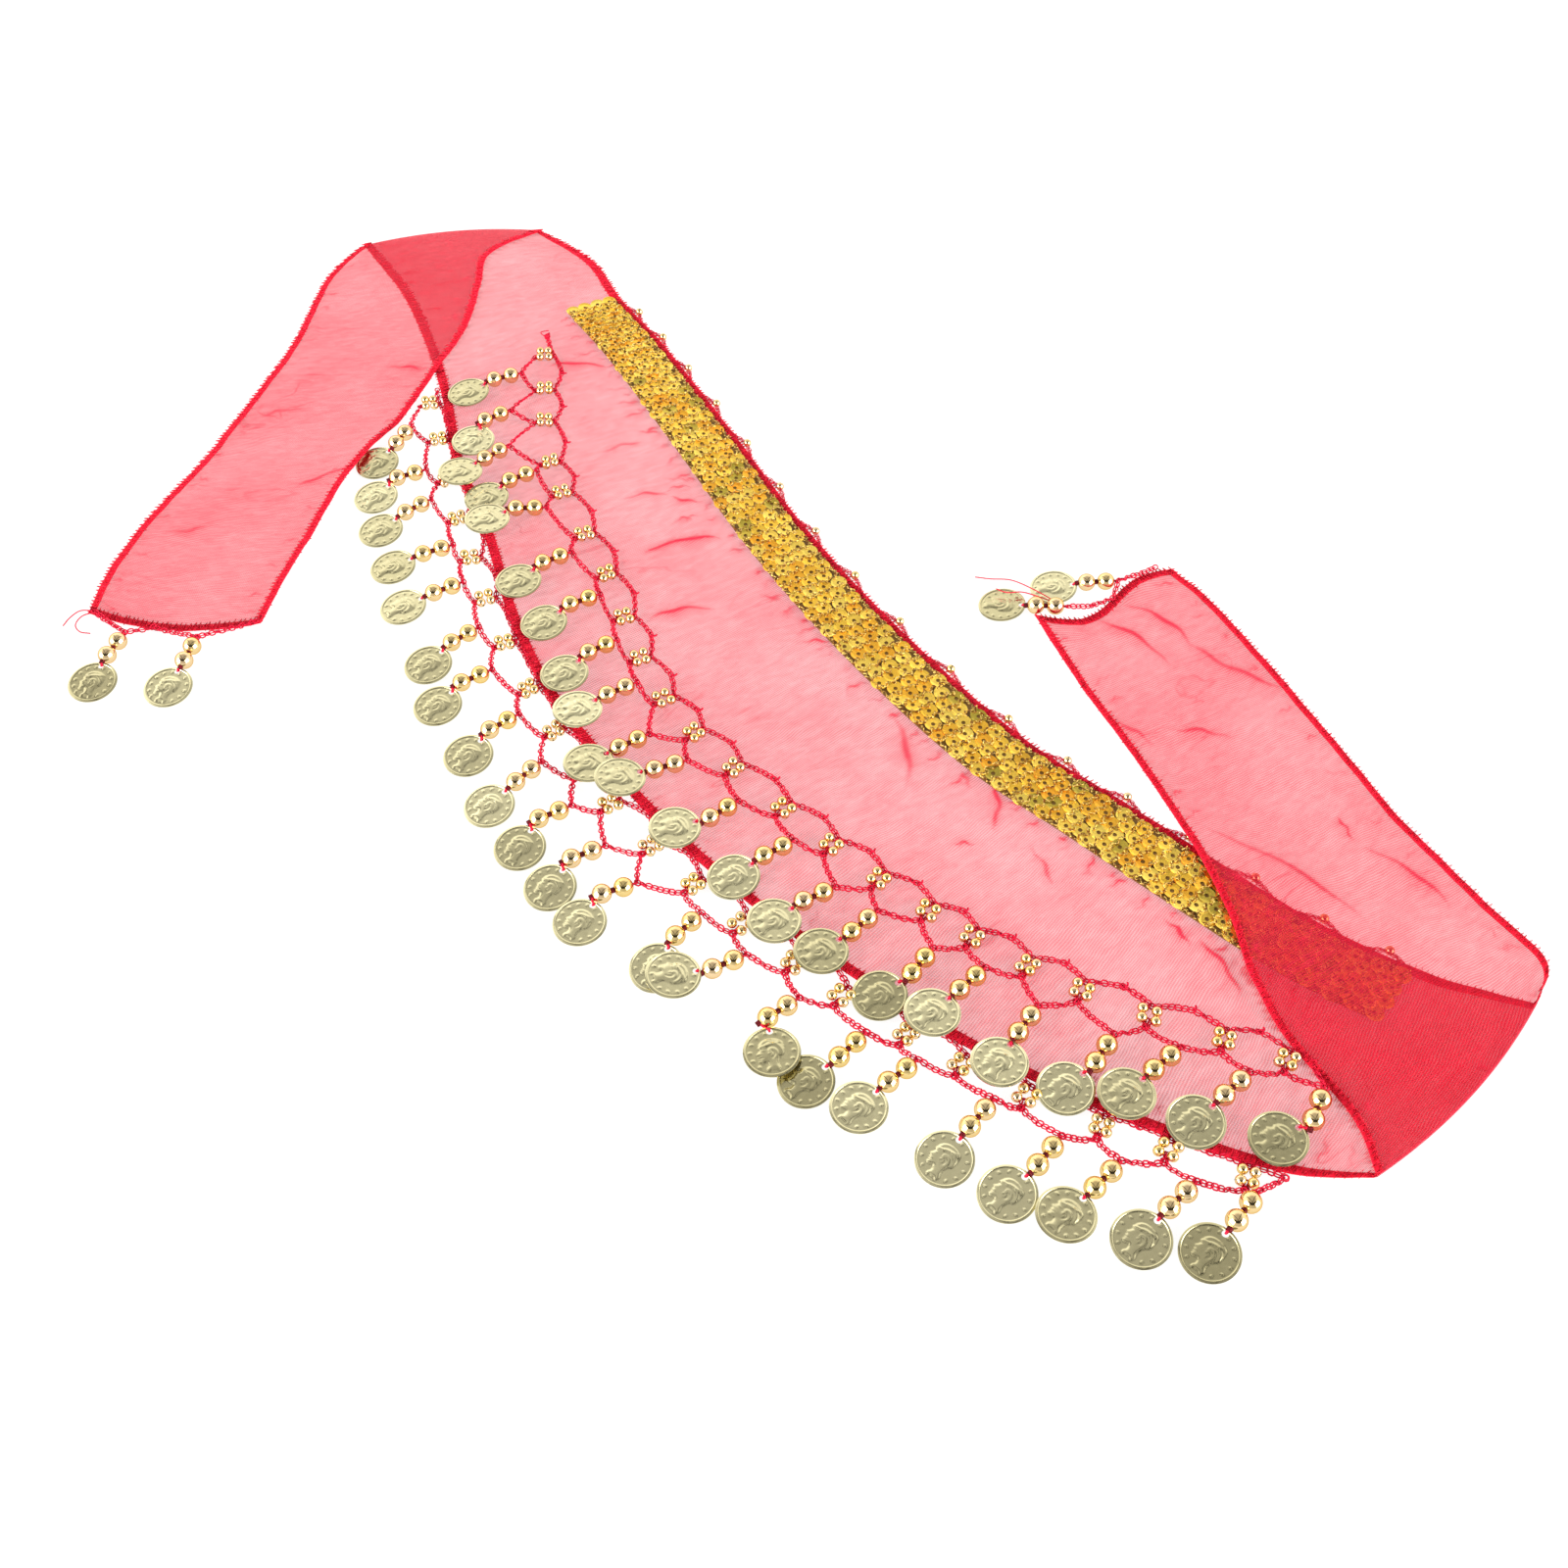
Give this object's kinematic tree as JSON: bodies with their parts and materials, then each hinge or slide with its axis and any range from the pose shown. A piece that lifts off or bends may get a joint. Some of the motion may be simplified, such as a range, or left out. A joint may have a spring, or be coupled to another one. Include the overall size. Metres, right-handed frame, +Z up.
{
  "type": "belly dance hip scarf",
  "caption": "Sheer hip scarf laid flat with both tails folded over, a sequin band at the waist, and crochet bead nets whose drops end in coins.",
  "frame": {"origin": "On the surface the scarf lies on, under the middle of its outline.", "axes": "+Z up from the surface, +X from the left tail to the right tail, +Y from the fringed hem side towards the waist edge's far end."},
  "size_m": [0.626, 0.651, 0.0102],
  "materials": {
    "chiffon": "sheer crinkled chiffon with an overlocked edge",
    "sequins": "gold sequins sewn close on a woven strip",
    "thread": "crocheted thread",
    "gold": "bright gold coating on stamped coins and beads"
  },
  "bodies": {
    "root": {"panel_middle": "chiffon", "tail_left": "chiffon", "tail_right": "chiffon", "sequin_band": "sequins", "waist_edging": "thread", "net_upper": "thread", "net_hem": "thread", "net_left_end": "thread", "net_right_end": "thread", "drop_upper_01": "gold", "drop_upper_02": "gold", "drop_upper_03": "gold", "drop_upper_04": "gold", "drop_upper_05": "gold", "drop_upper_06": "gold", "drop_upper_07": "gold", "drop_upper_08": "gold", "drop_upper_09": "gold", "drop_upper_10": "gold", "drop_upper_11": "gold", "drop_upper_12": "gold", "drop_upper_13": "gold", "drop_upper_14": "gold", "drop_upper_15": "gold", "drop_upper_16": "gold", "drop_upper_17": "gold", "drop_upper_18": "gold", "drop_upper_19": "gold", "drop_upper_20": "gold", "drop_upper_21": "gold", "drop_upper_22": "gold", "drop_hem_01": "gold", "drop_hem_02": "gold", "drop_hem_03": "gold", "drop_hem_04": "gold", "drop_hem_05": "gold", "drop_hem_06": "gold", "drop_hem_07": "gold", "drop_hem_08": "gold", "drop_hem_09": "gold", "drop_hem_10": "gold", "drop_hem_11": "gold", "drop_hem_12": "gold", "drop_hem_13": "gold", "drop_hem_14": "gold", "drop_hem_15": "gold", "drop_hem_16": "gold", "drop_hem_17": "gold", "drop_hem_18": "gold", "drop_hem_19": "gold", "drop_hem_20": "gold", "drop_hem_21": "gold", "drop_hem_22": "gold", "drop_left_1": "gold", "drop_right_1": "gold", "drop_left_2": "gold", "drop_right_2": "gold"}
  },
  "joints": []
}
